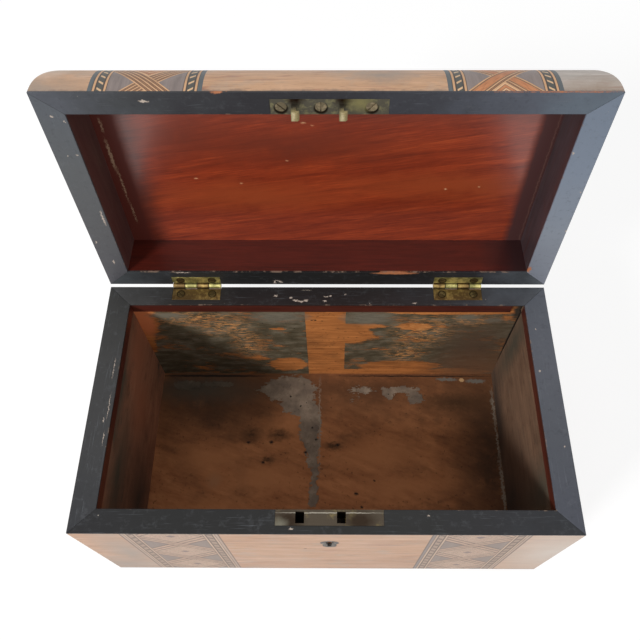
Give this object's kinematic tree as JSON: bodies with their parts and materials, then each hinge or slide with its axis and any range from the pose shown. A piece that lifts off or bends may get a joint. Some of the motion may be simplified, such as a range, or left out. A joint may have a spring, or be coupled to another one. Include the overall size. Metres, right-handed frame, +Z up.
{
  "type": "jewelry box",
  "caption": "Hinged wooden box with inlaid geometric bands, rounded lid, ebonised rims and a box lock whose bolt catches two hooks on the lid.",
  "frame": {"origin": "middle of the underside of the case, on the surface that the box stands on", "axes": "+X to the right seen from the keyhole side, +Y to the back where the hinges are, +Z up"},
  "size_m": [0.3, 0.218, 0.2878],
  "materials": {
    "pine": "bare pine, darkened and stained by age",
    "mahogany": "French-polished red mahogany",
    "walnut_veneer": "faded walnut veneer, satin polish",
    "ebonised_wood": "ebonised hardwood, rubbed and chipped",
    "harewood": "grey dyed sycamore veneer",
    "satinwood": "tan satinwood veneer",
    "boxwood": "pale boxwood line",
    "dyed_wood": "dyed black line",
    "brass": "tarnished brass",
    "iron": "dull dark iron"
  },
  "bodies": {
    "case": {"front_board": "pine", "back_board": "pine", "left_board": "pine", "right_board": "pine", "bottom_board": "pine", "case_brads": "iron", "front_veneer": "walnut_veneer", "back_veneer": "walnut_veneer", "left_veneer": "walnut_veneer", "right_veneer": "walnut_veneer", "case_band_ground": "harewood", "case_band_straps": "satinwood", "case_light_stringing": "boxwood", "case_dark_stringing": "dyed_wood", "case_rope_banding": "dyed_wood", "case_front_edging": "ebonised_wood", "case_back_edging": "ebonised_wood", "case_left_edging": "ebonised_wood", "case_right_edging": "ebonised_wood", "front_lip_strip": "mahogany", "back_lip_strip": "mahogany", "left_lip_strip": "mahogany", "right_lip_strip": "mahogany", "lock_plate": "brass", "lock_case": "iron", "lock_studs": "brass", "lock_key_pin": "iron", "lock_spring": "iron", "lock_screws": "brass", "keyhole_escutcheon": "brass", "left_hinge_case_leaf": "brass", "right_hinge_case_leaf": "brass", "left_hinge_pin": "brass", "right_hinge_pin": "brass", "case_hinge_screws": "brass"},
    "lid": {"lid_front_rail": "mahogany", "lid_back_rail": "mahogany", "lid_left_rail": "mahogany", "lid_right_rail": "mahogany", "lid_top_board": "mahogany", "lid_left_veneer": "walnut_veneer", "lid_centre_veneer": "walnut_veneer", "lid_right_veneer": "walnut_veneer", "lid_band_ground": "harewood", "lid_band_straps": "satinwood", "lid_light_stringing": "boxwood", "lid_dark_stringing": "dyed_wood", "lid_rope_banding": "dyed_wood", "lid_front_edging": "ebonised_wood", "lid_back_edging": "ebonised_wood", "lid_left_edging": "ebonised_wood", "lid_right_edging": "ebonised_wood", "link_plate": "brass", "link_plate_screws": "brass", "left_hinge_lid_leaf": "brass", "right_hinge_lid_leaf": "brass", "lid_hinge_screws": "brass"},
    "bolt": {"lock_bolt": "brass"}
  },
  "joints": [
    {"name": "lid_hinge", "type": "hinge", "parent": "case", "child": "lid", "pos_m": [0, 0.08375, 0.1222], "axis": [1, 0, 0], "range_deg": [0, 95]},
    {"name": "bolt_slide", "type": "slide", "parent": "case", "child": "bolt", "axis": [-1, 0, 0], "range_m": [0, 0.0045]}
  ]
}
